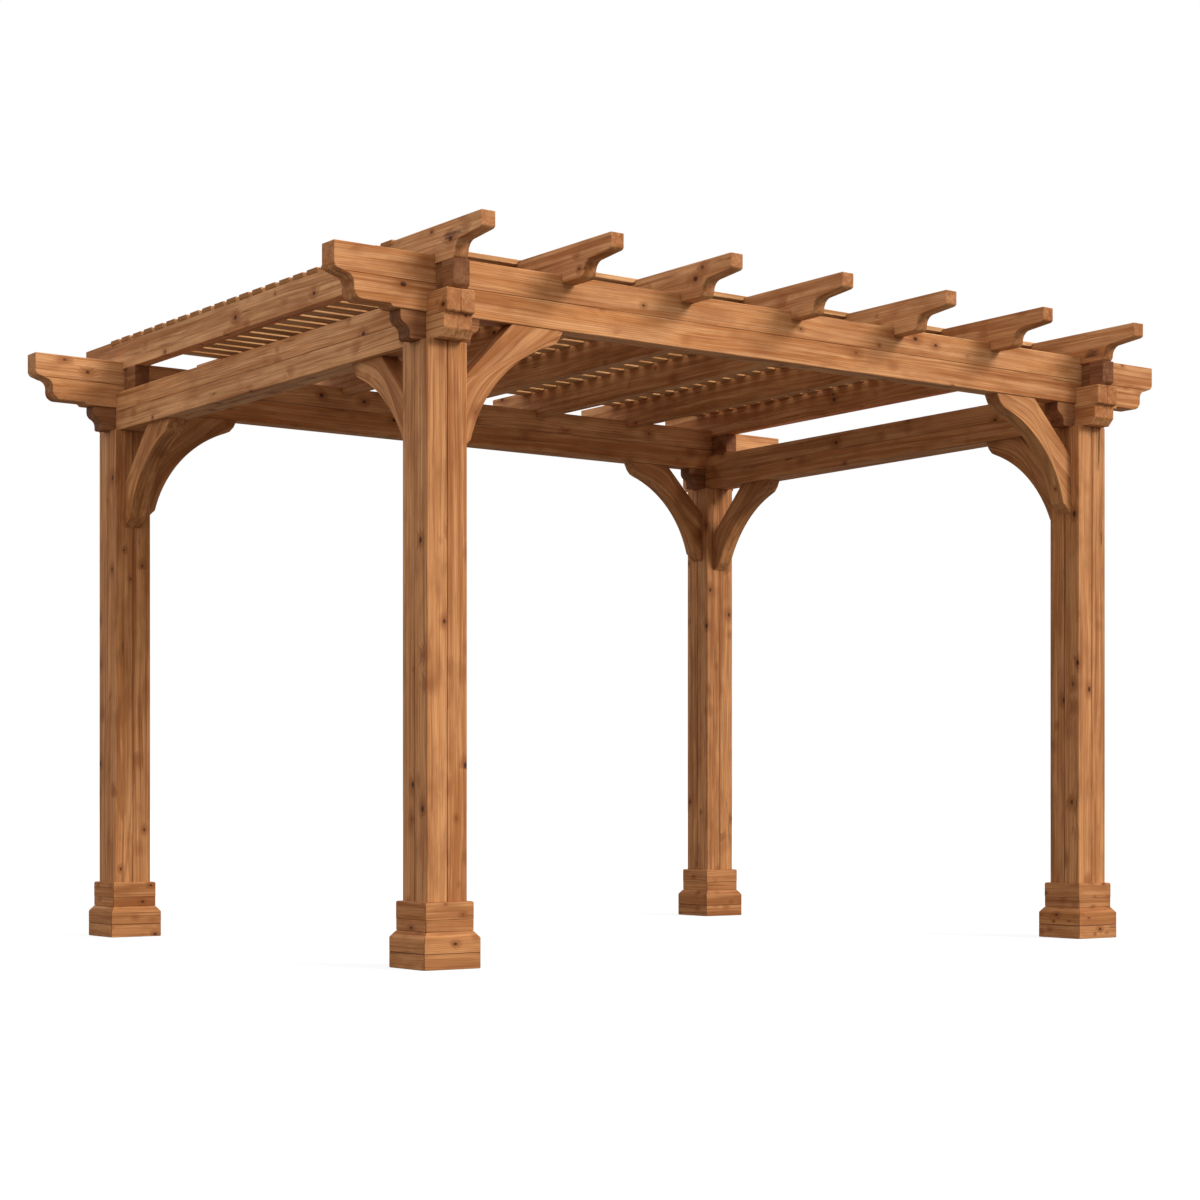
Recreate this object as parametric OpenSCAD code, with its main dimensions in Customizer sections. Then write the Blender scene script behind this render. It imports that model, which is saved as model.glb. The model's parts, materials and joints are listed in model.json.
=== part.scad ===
// Timber pergola on four posts, all sizes in millimetres, +Z up.
// X runs along the two main beams, Y along the rafters.
// The origin is on the ground, midway between the four posts.

/* [Layout] */
// Distance between post centres along X
post_gap_x = 3680; // [2400:10:4800]
// Distance between post centres along Y
post_gap_y = 2848; // [2000:8:3800]
// Height of the posts, which is the underside of the side beams
post_h = 2466; // [2000:2:3000]

/* [Posts and bases] */
// Side of the square posts
post_w = 185; // [150:1:225]
// Thickness of the boards of the lower plinth
plinth_t = 39; // [25:1:50]
// Height of the plinth at its outer face
plinth_h = 122; // [80:1:180]
// Height that the bevel on top of the plinth rises
plinth_bevel_h = 26; // [10:1:40]
// Thickness of the boards of the upper collar
collar_t = 19; // [12:1:24]
// Height of the collar above the plinth
collar_h = 117; // [60:1:180]
// Chamfer on the top outer edge of the collar
collar_chamfer = 4; // [1:1:8]

/* [Main beams along X] */
// Thickness of a main beam
beam_t = 96; // [70:1:120]
// Height of a main beam
beam_h = 227; // [190:1:280]
// Reach of a main beam past the post centre
beam_over = 484; // [420:2:600]
// Height of the upright cut at the tip of a main beam
beam_nose = 89; // [70:1:100]
// Depth of the shallow recess under a beam tail
beam_recess = 12; // [4:1:20]
// Distance from the post centre to the recess under a beam tail
beam_recess_at = 232; // [200:1:260]

/* [Side beams along Y] */
// Thickness of one plank of a doubled side beam
plank_t = 66; // [50:1:80]
// Height of a side beam
plank_h = 186; // [160:1:220]
// Reach of a side beam past the post centre
plank_over = 192; // [170:1:230]
// Depth of the set-back low on the end of a side beam
plank_step = 22; // [10:1:30]
// Size of the undercut at the foot of the end of a side beam
plank_undercut = 30; // [10:1:40]

/* [Corbels under the main beams] */
// Height of a corbel, from the post top to the main beam
corbel_h = 112; // [90:1:140]
// Thickness of a corbel along Y
corbel_t = 84; // [60:1:96]
// Reach of a corbel past the post at its top
corbel_reach = 92; // [70:1:120]
// Reach of a corbel past the post at its foot
corbel_foot = 50; // [35:1:65]

/* [Braces] */
// Thickness of a brace
brace_t = 84; // [60:1:90]
// Length of a front or back brace along the main beam
brace_x_run = 500; // [440:5:580]
// Length of a front or back brace down the post
brace_x_drop = 530; // [440:5:600]
// Length of a side brace along the side beam
brace_y_run = 484; // [420:4:560]
// Length of a side brace down the post
brace_y_drop = 474; // [420:2:560]
// Length of the open triangle behind a brace
brace_hollow = 250; // [200:2:270]
// Width of a front or back brace at its waist
brace_x_waist = 120; // [95:1:140]
// Width of a side brace at its waist
brace_y_waist = 112; // [90:1:130]

/* [Rafters] */
// Number of rafters
rafter_count = 7; // [5:1:9]
// Thickness of a rafter
rafter_t = 65; // [50:1:70]
// Height of a rafter
rafter_h = 150; // [135:1:190]
// Reach of a rafter past the post centre
rafter_over = 385; // [340:5:480]
// Depth of the seats cut over the main beams
rafter_seat = 36; // [20:1:50]
// Height of the upright cut at the tip of a rafter
rafter_nose = 60; // [50:1:70]

/* [Blocks under the end rafters] */
// Width of the head of a block along X
block_w = 76; // [60:1:90]
// Length of the head of a block along Y
block_l = 85; // [60:1:100]
// Width of the neck between the head and the main beam
block_neck = 50; // [40:1:58]
// Reach of a block past the post centre
block_over = 196; // [170:1:230]
// Undercut on the outer foot of a block
block_chamfer = 18; // [5:1:25]

/* [Slats] */
// Number of slats
slat_count = 22; // [12:1:24]
// Width of a slat
slat_w = 88; // [60:1:96]
// Thickness of a slat
slat_t = 22; // [16:1:30]
// Depth that the slats are let into the rafters
slat_dado = 15; // [8:1:15]
// Side clearance of a slat in its housing
slat_fit = 1; // [0:0.5:2]
// Reach of the slats past the outer rafters
slat_over = 5; // [0:1:30]
// Distance from the front post centres back to the first slat
slat_start = 270; // [20:5:400]
// Distance that the last slat reaches past the back post centres
slat_end = 85; // [50:5:120]

/* [Hidden] */

// levels
beam_z = post_h + corbel_h;            // underside of the main beams
beam_top = beam_z + beam_h;
plank_top = post_h + plank_h;
lap = plank_top - beam_z;              // how far the side beams rise past the underside of the main beams
rafter_z = beam_top - rafter_seat;     // underside of the rafters
rafter_top = rafter_z + rafter_h;
slat_z = rafter_top - slat_dado;       // underside of the slats

// places
px = post_gap_x / 2;
py = post_gap_y / 2;
rafter_pitch = post_gap_x / (rafter_count - 1);
slat_first = -py + slat_start;
slat_last = py + slat_end - slat_w;
slat_pitch = (slat_last - slat_first) / (slat_count - 1);
slats_in_node = ceil(slat_count / 4);
arc_steps = 10;

// Points of an arc from angle a to angle b
function arc(x, y, r, a, b, n = arc_steps) =
    [for (i = [0 : n]) let (t = a + (b - a) * i / n) [x + r * cos(t), y + r * sin(t)]];

// The same points with X turned about, and in the opposite order
function flipped(points) = [for (i = [len(points) - 1 : -1 : 0]) [-points[i][0], points[i][1]]];

// Moves points by dx and dy
function shifted(points, dx, dy) = [for (p = points) [p[0] + dx, p[1] + dy]];

// ---- outlines ----

// Underside of the right-hand tail of a main beam, from the recess to the tip,
// as distances from the post centre and from the underside of the beam
beam_cove_r = 38;
beam_round_r = 42;
beam_nose_z = beam_h - beam_nose;
beam_corner = 10;
beam_shelf_drop = 14;
beam_cove_x = beam_over - 50;
beam_round_x = beam_cove_x - beam_cove_r;
beam_cove_z = beam_nose_z - 16 - beam_shelf_drop;
function beam_tail() = concat(
    [[beam_recess_at - beam_recess, 0]],
    [[beam_recess_at, beam_recess]],
    arc(beam_round_x - beam_round_r, beam_recess + beam_round_r, beam_round_r, -90, 0),
    arc(beam_cove_x, beam_cove_z - beam_cove_r, beam_cove_r, 180, 90),
    [[beam_over - beam_corner, beam_nose_z - 16]],
    [[beam_over, beam_nose_z]],
    [[beam_over, beam_h]]);

// Underside of the front tail of a rafter, from its foot to the tip,
// as distances past the post centre and heights above the underside
rafter_cove_r = 45;
rafter_round_r = 25;
rafter_corner = 12;
rafter_shelf = 130;
rafter_nose_z = rafter_h - rafter_nose;
rafter_cove_x = rafter_over - rafter_shelf - rafter_corner;
rafter_round_x = rafter_cove_x - rafter_cove_r;
rafter_cove_z = rafter_round_r + rafter_cove_r;
function rafter_tail() = concat(
    arc(rafter_round_x - rafter_round_r, rafter_round_r, rafter_round_r, -90, 0),
    arc(rafter_cove_x, rafter_cove_z - rafter_cove_r, rafter_cove_r, 180, 90),
    [[rafter_over - rafter_corner, rafter_nose_z - 7]],
    [[rafter_over, rafter_nose_z]],
    [[rafter_over, rafter_h]]);

// A seat that fits over a main beam, centred at y
function seat(y) = [[y - beam_t / 2, 0], [y - beam_t / 2, rafter_seat],
                    [y + beam_t / 2, rafter_seat], [y + beam_t / 2, 0]];

// The housings for the slats, from the back of the rafter to the front
function housings() = [for (i = [slat_count - 1 : -1 : 0])
    let (a = slat_first + i * slat_pitch - slat_fit, b = a + slat_w + 2 * slat_fit)
    each [[b, rafter_h], [b, rafter_h - slat_dado], [a, rafter_h - slat_dado], [a, rafter_h]]];

// Whole side view of a rafter, with Y along the first axis
function rafter_outline() = concat(
    seat(-py), seat(py),
    shifted(rafter_tail(), py, 0),
    housings(),
    shifted(flipped(rafter_tail()), -py, 0));

// Whole front view of a main beam
function beam_outline() = concat(
    shifted(beam_tail(), px, 0),
    shifted(flipped(beam_tail()), -px, 0));

// Side view of the end of a side beam past the back post, from its underside up
plank_step_z = 90;
plank_step_h = 8;
function plank_end() = [
    [plank_over - plank_step - plank_undercut, 0],
    [plank_over - plank_step, plank_undercut + 3],
    [plank_over - plank_step, plank_step_z],
    [plank_over, plank_step_z + plank_step_h],
    [plank_over, plank_h]];

// A notch in the top of a side beam for a main beam, centred at y
function lap_notch(y) = [[y + beam_t / 2, plank_h], [y + beam_t / 2, plank_h - lap],
                         [y - beam_t / 2, plank_h - lap], [y - beam_t / 2, plank_h]];

function plank_outline() = concat(
    shifted(plank_end(), py, 0),
    lap_notch(py), lap_notch(-py),
    shifted(flipped(plank_end()), -py, 0));

// Corbel seen from the front, from the face of the side beam outwards,
// with its underside on the post top
corbel_lip = 25;
corbel_heel = 22;
corbel_sweep_x = corbel_reach - corbel_foot;
corbel_sweep_z = corbel_h - corbel_lip - corbel_heel;
corbel_turn = 2 * atan(corbel_sweep_x / corbel_sweep_z);
corbel_r = corbel_sweep_z / 2 / sin(corbel_turn);
corbel_ease = 6;
function corbel_outline() = concat(
    [[plank_t, 0]],
    [[post_w / 2 + corbel_foot - corbel_ease, 0]],
    [[post_w / 2 + corbel_foot, corbel_ease]],
    arc(post_w / 2 + corbel_foot + corbel_r, corbel_heel, corbel_r, 180, 180 - corbel_turn, 6),
    arc(post_w / 2 + corbel_reach - corbel_r, corbel_h - corbel_lip, corbel_r, -corbel_turn, 0, 6),
    [[post_w / 2 + corbel_reach, corbel_h]],
    [[plank_t, corbel_h]]);

// Brace with its seat on the post at x = 0 and its seat under the beam at y = 0.
// The bow runs from the lip near the beam to the lip near the post as one arc.
brace_lip_in = 68;
brace_lip_down = 72;
brace_toe_in = 50;
brace_toe_up = 45;
function bow(run, drop, waist) =
    let (a = [run - brace_lip_in, -brace_lip_down])
    let (b = [brace_toe_in, -drop + brace_toe_up])
    let (mid = (a + b) / 2)
    let (half = norm(b - a) / 2)
    let (rise = (mid[0] - mid[1] - brace_hollow) / sqrt(2) - waist)
    let (r = (half * half + rise * rise) / (2 * rise))
    let (along = (b - a) / (2 * half))
    let (c = mid + (r - rise) * [-along[1], along[0]])
    let (turn_a = atan2(a[1] - c[1], a[0] - c[0]))
    let (turn_b = atan2(b[1] - c[1], b[0] - c[0]))
    arc(c[0], c[1], r, turn_b, turn_a, 18);
function brace_outline(run, drop, waist) = concat(
    [[0, -brace_hollow - 8], [0, -drop]],
    [[18, -drop + 15]],
    [[36, -drop + 32]],
    bow(run, drop, waist),
    [[run - 40, -60]],
    [[run - 18, -36]],
    [[run, 0], [brace_hollow, 0]]);

// ---- timbers ----

// Places a shape at the post at the corner sx, sy, each -1 or 1
module at_post(sx, sy) {
    translate([sx * px, sy * py, 0]) children();
}

// Stands an outline upright along X, thick along Y and centred
module along_x(points, thick) {
    rotate([90, 0, 0]) linear_extrude(height = thick, center = true) polygon(points);
}

// Stands an outline upright along Y, thick along X and centred
module along_y(points, thick) {
    rotate([0, 0, 90]) rotate([90, 0, 0]) linear_extrude(height = thick, center = true) polygon(points);
}

module post(sx, sy) {
    color("peru") at_post(sx, sy)
        translate([-post_w / 2, -post_w / 2, 0]) cube([post_w, post_w, post_h]);
}

// Square frame of boards round a post, turned from its section so that it is mitred and bevelled
module base_frame(outer_low, outer_high, low, shoulder, high) {
    profile = [[0, low], [outer_low, low], [outer_low, shoulder], [outer_high, high], [0, high]];
    intersection_for (a = [0, 90])
        rotate([0, 0, a])
            difference() {
                along_x(concat([for (p = profile) if (p[0] > 0) p],
                               flipped([for (p = profile) if (p[0] > 0) p])), 2 * outer_low);
                translate([-post_w / 2, -post_w / 2, low - 1]) cube([post_w, post_w, high - low + 2]);
            }
}

module plinth(sx, sy) {
    half = post_w / 2 + plinth_t;
    color("sienna") at_post(sx, sy)
        base_frame(half, post_w / 2 + collar_t, 0, plinth_h, plinth_h + plinth_bevel_h);
}

module collar(sx, sy) {
    half = post_w / 2 + collar_t;
    foot = plinth_h + plinth_bevel_h;
    color("chocolate") at_post(sx, sy)
        base_frame(half, half - collar_chamfer, foot, foot + collar_h - collar_chamfer, foot + collar_h);
}

module main_beam(sy) {
    color("sandybrown") translate([0, sy * py, beam_z]) along_x(beam_outline(), beam_t);
}

// sx picks the side of the pergola, plank the left (-1) or right (1) plank of the pair
module side_plank(sx, plank) {
    color("burlywood") translate([sx * px + plank * plank_t / 2, 0, post_h])
        along_y(plank_outline(), plank_t);
}

module corbels(sx, sy) {
    color("peru") at_post(sx, sy) translate([0, 0, post_h])
        for (points = [corbel_outline(), flipped(corbel_outline())]) along_x(points, corbel_t);
}

// Brace from a post inwards along X, under a main beam
module brace_x(sx, sy) {
    points = brace_outline(brace_x_run, brace_x_drop, brace_x_waist);
    color("burlywood") translate([sx * (px - post_w / 2), sy * py, beam_z])
        along_x(sx < 0 ? points : flipped(points), brace_t);
}

// Brace from a post inwards along Y, under a side beam
module brace_y(sx, sy) {
    points = brace_outline(brace_y_run, brace_y_drop, brace_y_waist);
    color("tan") translate([sx * px, sy * (py - post_w / 2), post_h])
        along_y(sy < 0 ? points : flipped(points), brace_t);
}

// Block that fills the height from a side beam to the end rafter,
// with its outer end at y = 0 and its length towards +Y
module block() {
    height = rafter_z - plank_top;
    length = block_over - beam_t / 2;
    union() {
        along_y([[block_chamfer, 0], [block_l, 0], [block_l, height], [0, height], [0, block_chamfer]],
                block_w);
        translate([-block_neck / 2, block_l - 1, 0]) cube([block_neck, length - block_l + 1, height]);
    }
}

module blocks(sx, sy) {
    color("saddlebrown") at_post(sx, sy) translate([0, 0, plank_top]) {
        translate([0, -block_over, 0]) block();
        mirror([0, 1, 0]) translate([0, -block_over, 0]) block();
    }
}

module rafter(i) {
    color("peru") translate([-px + (i - 1) * rafter_pitch, 0, rafter_z])
        along_y(rafter_outline(), rafter_t);
}

// Slats of one quarter of the roof, counted from the front
module slats(quarter) {
    length = post_gap_x + rafter_t + 2 * slat_over;
    last = min((quarter + 1) * slats_in_node, slat_count) - 1;
    color("wheat")
        for (i = [quarter * slats_in_node : last])
            translate([-px - rafter_t / 2 - slat_over, slat_first + i * slat_pitch, slat_z])
                cube([length, slat_w, slat_t]);
}

post(-1, -1);  // post_front_left
post(1, -1);  // post_front_right
post(-1, 1);  // post_back_left
post(1, 1);  // post_back_right
plinth(-1, -1);  // plinth_front_left
plinth(1, -1);  // plinth_front_right
plinth(-1, 1);  // plinth_back_left
plinth(1, 1);  // plinth_back_right
collar(-1, -1);  // collar_front_left
collar(1, -1);  // collar_front_right
collar(-1, 1);  // collar_back_left
collar(1, 1);  // collar_back_right
main_beam(-1);  // main_beam_front
main_beam(1);  // main_beam_back
side_plank(-1, -1);  // side_beam_left_outer
side_plank(-1, 1);  // side_beam_left_inner
side_plank(1, -1);  // side_beam_right_inner
side_plank(1, 1);  // side_beam_right_outer
corbels(-1, -1);  // corbels_front_left
corbels(1, -1);  // corbels_front_right
corbels(-1, 1);  // corbels_back_left
corbels(1, 1);  // corbels_back_right
brace_x(-1, -1);  // brace_front_left_x
brace_x(1, -1);  // brace_front_right_x
brace_x(-1, 1);  // brace_back_left_x
brace_x(1, 1);  // brace_back_right_x
brace_y(-1, -1);  // brace_front_left_y
brace_y(1, -1);  // brace_front_right_y
brace_y(-1, 1);  // brace_back_left_y
brace_y(1, 1);  // brace_back_right_y
blocks(-1, -1);  // blocks_front_left
blocks(1, -1);  // blocks_front_right
blocks(-1, 1);  // blocks_back_left
blocks(1, 1);  // blocks_back_right
rafter(1);  // rafter_1
rafter(2);  // rafter_2
rafter(3);  // rafter_3
rafter(4);  // rafter_4
rafter(5);  // rafter_5
rafter(6);  // rafter_6
rafter(7);  // rafter_7
slats(0);  // slats_front
slats(1);  // slats_middle_front
slats(2);  // slats_middle_back
slats(3);  // slats_back
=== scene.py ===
"""Timber pergola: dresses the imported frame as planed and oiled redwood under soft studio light."""

import json
import logging
import math
from collections.abc import Callable
from dataclasses import dataclass, field
from enum import Enum
from functools import partial
from random import Random

import bmesh
import bpy
from mathutils import Matrix, Vector

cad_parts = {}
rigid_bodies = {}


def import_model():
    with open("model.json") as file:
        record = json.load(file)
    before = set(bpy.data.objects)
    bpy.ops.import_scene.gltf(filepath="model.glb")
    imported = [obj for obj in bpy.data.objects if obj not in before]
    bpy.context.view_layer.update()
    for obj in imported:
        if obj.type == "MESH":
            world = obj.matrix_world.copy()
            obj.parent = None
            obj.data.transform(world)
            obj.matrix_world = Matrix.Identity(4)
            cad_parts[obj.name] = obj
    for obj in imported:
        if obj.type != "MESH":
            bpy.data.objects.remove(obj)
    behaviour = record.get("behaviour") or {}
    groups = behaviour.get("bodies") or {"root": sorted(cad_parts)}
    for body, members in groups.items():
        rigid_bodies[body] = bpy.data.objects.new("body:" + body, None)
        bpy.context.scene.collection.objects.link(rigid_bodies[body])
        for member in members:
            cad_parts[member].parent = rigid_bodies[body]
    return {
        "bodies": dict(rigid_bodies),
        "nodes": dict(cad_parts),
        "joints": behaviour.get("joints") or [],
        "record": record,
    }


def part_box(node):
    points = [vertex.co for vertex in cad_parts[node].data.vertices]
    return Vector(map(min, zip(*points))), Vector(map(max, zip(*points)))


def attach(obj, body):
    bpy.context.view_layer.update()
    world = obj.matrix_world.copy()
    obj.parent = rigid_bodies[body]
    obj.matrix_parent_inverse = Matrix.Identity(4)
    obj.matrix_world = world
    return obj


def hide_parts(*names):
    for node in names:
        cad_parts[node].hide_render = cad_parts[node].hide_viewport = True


LOG = logging.getLogger("pergola")
BODY = "root"
MM = 0.001

# How far two things may be apart and still count as the same place.
TOUCH = 0.00005

# Points closer than this are one point.
MERGE = TOUCH / 5

# Seed of the random choices for each timber. The slats and screws have their own seeds.
SEED = 20

# Where in a log a board may be cut, in metres: along the log, out from its pith, and to the side.
LOG_LOW = (-40.0, 0.14, -0.06)
LOG_HIGH = (40.0, 0.4, 0.06)

Socket = bpy.types.NodeSocket
Adder = Callable[..., Socket]

# Blender's names for the nodes that are used often.
ATTRIBUTE = "ShaderNodeAttribute"
BUMP = "ShaderNodeBump"
COORDINATES = "ShaderNodeTexCoord"
GEOMETRY = "ShaderNodeNewGeometry"
LIGHT_PATH = "ShaderNodeLightPath"
MATERIAL_OUTPUT = "ShaderNodeOutputMaterial"
MATH = "ShaderNodeMath"
MIX = "ShaderNodeMix"
NOISE = "ShaderNodeTexNoise"
PRINCIPLED = "ShaderNodeBsdfPrincipled"
RANGE = "ShaderNodeMapRange"
SPLIT_COLOUR = "ShaderNodeSeparateColor"
VECTOR = "ShaderNodeCombineXYZ"
VECTOR_MATH = "ShaderNodeVectorMath"
VORONOI = "ShaderNodeTexVoronoi"
RANDOM = "FunctionNodeRandomValue"
STORE = "GeometryNodeStoreNamedAttribute"
READ = "GeometryNodeInputNamedAttribute"

# Settings of a range whose two ends ease in and out.
SOFT = {"interpolation_type": "SMOOTHSTEP"}


class Lay(Enum):
    """Which way the wood's fibres run in a piece."""

    ALONG_X = (1.0, 0.0, 0.0)
    ALONG_Y = (0.0, 1.0, 0.0)
    UPRIGHT = (0.0, 0.0, 1.0)


def linear(hex_colour: str) -> tuple[float, float, float, float]:
    """Turns an sRGB hex colour to the linear values that Blender's sockets hold.

    Args:
        hex_colour: six hex digits after a hash.

    Returns:
        Linear red, green, blue, and an alpha of 1.
    """
    values = [int(hex_colour[i : i + 2], 16) / 255 for i in (1, 3, 5)]
    red, green, blue = [v / 12.92 if v <= 0.04045 else ((v + 0.055) / 1.055) ** 2.4 for v in values]
    return red, green, blue, 1.0


def add_node(
    tree: bpy.types.NodeTree,
    kind: str,
    inputs: tuple | dict[str | int, object] = (),
    out: int | str = 0,
    **settings: object,
) -> bpy.types.NodeSocket | None:
    """Adds one node to a tree, sets it and links it.

    Args:
        tree: the shader or geometry tree that gets the node.
        kind: Blender's name for the node's type.
        inputs: input values in order, or by name or number. A socket is linked, and anything
            else is set on the input.
        out: name or number of the output that the caller needs.
        **settings: properties of the node.

    Returns:
        The output, or nothing if the node has none.
    """
    node = tree.nodes.new(kind)
    for name, value in settings.items():
        setattr(node, name, value)
    for key, value in (inputs.items() if isinstance(inputs, dict) else enumerate(inputs)):
        if isinstance(value, bpy.types.NodeSocket):
            tree.links.new(value, node.inputs[key])
        else:
            node.inputs[key].default_value = value
    return node.outputs[out] if node.outputs else None


def new_material(name: str) -> tuple[bpy.types.Material, Adder]:
    """Makes an empty node material.

    Args:
        name: the finish, in a maker's words.

    Returns:
        The material, and the function that adds nodes to it.
    """
    material = bpy.data.materials.new(name)
    material.use_nodes = True
    material.node_tree.nodes.clear()
    return material, partial(add_node, material.node_tree)


# ---- finishes


def per_metre(along_mm: float, across_mm: float) -> tuple[float, float, float]:
    """Repeats in a metre of a pattern whose size along and across the fibres is given."""
    return 1000 / along_mm, 1000 / across_mm, 1000 / across_mm


@dataclass(frozen=True)
class Figure:
    """Soft patches in the wood's figure, longer along the fibres than across them."""

    along_mm: float
    across_mm: float
    # The noise runs from 0 to 1. A patch starts at the low value and is full at the high one.
    low: float
    high: float

    def mask(self, add: Adder, place: Socket) -> Socket:
        """Makes the patches.

        Args:
            add: adds a node to the material.
            place: place in the board, in metres along and across the fibres.

        Returns:
            The mask.
        """
        size = per_metre(self.along_mm, self.across_mm)
        scaled = add(VECTOR_MATH, (place, size), operation="MULTIPLY")
        noise = add(NOISE, {"Vector": scaled, "Scale": 1.0, "Detail": 3.0, "Roughness": 0.55})
        return add(RANGE, (noise, self.low, self.high), **SOFT)


# Broad changes of colour along a board.
PATCHES = Figure(1250, 143, 0.3, 0.7)
MOTTLE = Figure(200, 77, 0.42, 0.72)
# Streaks a finger wide, and fine veins.
STREAKS = Figure(833, 21, 0.38, 0.63)
VEINS = Figure(1250, 12, 0.53, 0.68)
# Fibres are 0.05 mm wide. Bundles of them are drawn, as coarse as they need to be to show.
FIBRES = Figure(320, 5.5, 0.36, 0.68)
# Lengths of board in which drying checks have opened.
OPENED = Figure(285, 83, 0.58, 0.68)
# Lengths of glued seam in which dirt sits.
WORN = Figure(333, 333, 0.38, 0.6)


@dataclass(frozen=True)
class RedwoodFinish:
    """Planed redwood with a clear satin oil: warm, streaked, knotty, and hardly shiny."""

    name: str
    # Sapwood and early wood between the rings.
    pale: str = "#D49A66"
    # The body of the board.
    body: str = "#B4743F"
    # Heartwood streaks and late wood.
    deep: str = "#7E4722"
    # Hearts of knots, drying checks and the dirt in a glued seam.
    dark: str = "#33110A"
    # Real rings are 2 to 4 mm apart. They are drawn coarser, because finer ones don't show.
    ring_mm: float = 7.0
    rings: float = 0.4
    # One place in this spacing may hold a knot, and this share of the places does.
    knot_spacing_mm: tuple[float, float] = (118.0, 83.0)
    knots: float = 0.42
    # Radius of the smallest and the largest knot.
    knot_mm: tuple[float, float] = (4.2, 12.5)
    # A knot's dark heart and the tinted wood round it start at the first of these distances and
    # are full at the second, in radii of the knot.
    heart_edge: tuple[float, float] = (1.15, 0.55)
    halo_edge: tuple[float, float] = (4.2, 0.9)
    # Rings swell outwards by this much as they pass a knot.
    swell_mm: float = 9.0
    # Late wood sets in slowly and ends sharply, at these shares of a ring.
    ring_rise: tuple[float, float] = (0.35, 0.92)
    ring_fall: tuple[float, float] = (1.0, 0.93)
    # Length and width of a bend in the fibres, and how far it takes them off the straight.
    bend_mm: tuple[float, float] = (1100.0, 330.0)
    bend_depth_mm: float = 50.0
    # Length of a drying check, and how far apart checks lie. The crack's own edges are given as
    # shares of that distance, and are wider than a real hairline, which doesn't show.
    check_mm: tuple[float, float] = (4500.0, 59.0)
    crack_edge: tuple[float, float] = (0.022, 0.006)
    # How much darker end grain is, and the cosines between surface and fibres where it sets in.
    end_grain: float = 0.45
    end_edge: tuple[float, float] = (0.8, 0.97)
    # How much of the late wood still shows where the board is dark already.
    faded_rings: float = 0.55
    # How much of the pale colour the palest and the darkest board have.
    board_tones: tuple[float, float] = (0.75, 0.1)
    # Roughness and shine start from typical values for planed wood, 0.6 and 0.5, and are matched
    # to thin oil that has sunk in: a broad, weak sheen, a little smoother on the pale streaks.
    roughness: float = 0.68
    roughness_change: float = 0.06
    shine: float = 0.15
    bump_mm: float = 0.6
    bump: float = 0.55

    def wandering(self, add: Adder, grain: Socket) -> Socket:
        """Bends the fibres off the straight by a few centimetres in a metre.

        Args:
            add: adds a node to the material.
            grain: place in the board, in metres along and across the fibres.

        Returns:
            The bent place.
        """
        scaled = add(VECTOR_MATH, (grain, per_metre(*self.bend_mm)), operation="MULTIPLY")
        waves = add(NOISE, {"Vector": scaled, "Scale": 1.0, "Detail": 2.0}, out="Color")
        centred = add(VECTOR_MATH, (waves, (0.5, 0.5, 0.5)), operation="SUBTRACT")
        depth = (0.0, self.bend_depth_mm * MM, self.bend_depth_mm * MM)
        drift = add(VECTOR_MATH, (centred, depth), operation="MULTIPLY")
        return add(VECTOR_MATH, (grain, drift), operation="ADD")

    def knot_masks(self, add: Adder, bent: Socket) -> tuple[Socket, Socket]:
        """Scatters small round knots.

        Args:
            add: adds a node to the material.
            bent: place along the bent fibres.

        Returns:
            Masks of the knots' dark hearts, and of the tinted wood round them.
        """
        scaled = add(VECTOR_MATH, (bent, per_metre(*self.knot_spacing_mm)), operation="MULTIPLY")
        near = add(VORONOI, {"Vector": scaled, "Scale": 1.0}, out="Distance")
        own = add(VORONOI, {"Vector": scaled, "Scale": 1.0}, out="Color")
        chance = add(SPLIT_COLOUR, (own,), out=0)
        which = add(SPLIT_COLOUR, (own,), out=1)
        held = add(MATH, (chance, self.knots), operation="LESS_THAN")
        least, most = [radius / self.knot_spacing_mm[1] for radius in self.knot_mm]
        size = add(RANGE, (which, 0.0, 1.0, least, most), **SOFT)
        reach = add(MATH, (near, size), operation="DIVIDE")
        darkest_wood = add(RANGE, (reach, *self.heart_edge), **SOFT)
        halo = add(RANGE, (reach, *self.halo_edge), **SOFT)
        return (
            add(MATH, (darkest_wood, held), operation="MULTIPLY"),
            add(MATH, (halo, held), operation="MULTIPLY"),
        )

    def late_wood(self, add: Adder, bent: Socket, halo: Socket) -> Socket:
        """Draws growth rings round a pith that lies outside the board, swelling round knots.

        Args:
            add: adds a node to the material.
            bent: place along the bent fibres.
            halo: mask of the wood round the knots.

        Returns:
            Mask of the darker late wood.
        """
        flat = add(VECTOR_MATH, (bent, (0.0, 1.0, 1.0)), operation="MULTIPLY")
        radius = add(VECTOR_MATH, (flat,), out="Value", operation="LENGTH")
        swollen = add(MATH, (halo, self.swell_mm * MM, radius), operation="MULTIPLY_ADD")
        turns = add(MATH, (swollen, 1.0 / (self.ring_mm * MM)), operation="MULTIPLY")
        saw = add(MATH, (turns,), operation="FRACT")
        rise = add(RANGE, (saw, *self.ring_rise), **SOFT)
        fall = add(RANGE, (saw, *self.ring_fall), **SOFT)
        return add(MATH, (rise, fall), operation="MULTIPLY")

    def drying_checks(self, add: Adder, grain: Socket, bent: Socket) -> Socket:
        """Draws fine cracks along the fibres, which come and go.

        Args:
            add: adds a node to the material.
            grain: place in the board.
            bent: place along the bent fibres.

        Returns:
            Mask of the cracks.
        """
        scaled = add(VECTOR_MATH, (bent, per_metre(*self.check_mm)), operation="MULTIPLY")
        edge = add(VORONOI, {"Vector": scaled, "Scale": 1.0}, feature="DISTANCE_TO_EDGE")
        crack = add(RANGE, (edge, *self.crack_edge), **SOFT)
        return add(MATH, (crack, OPENED.mask(add, grain)), operation="MULTIPLY")

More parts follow.
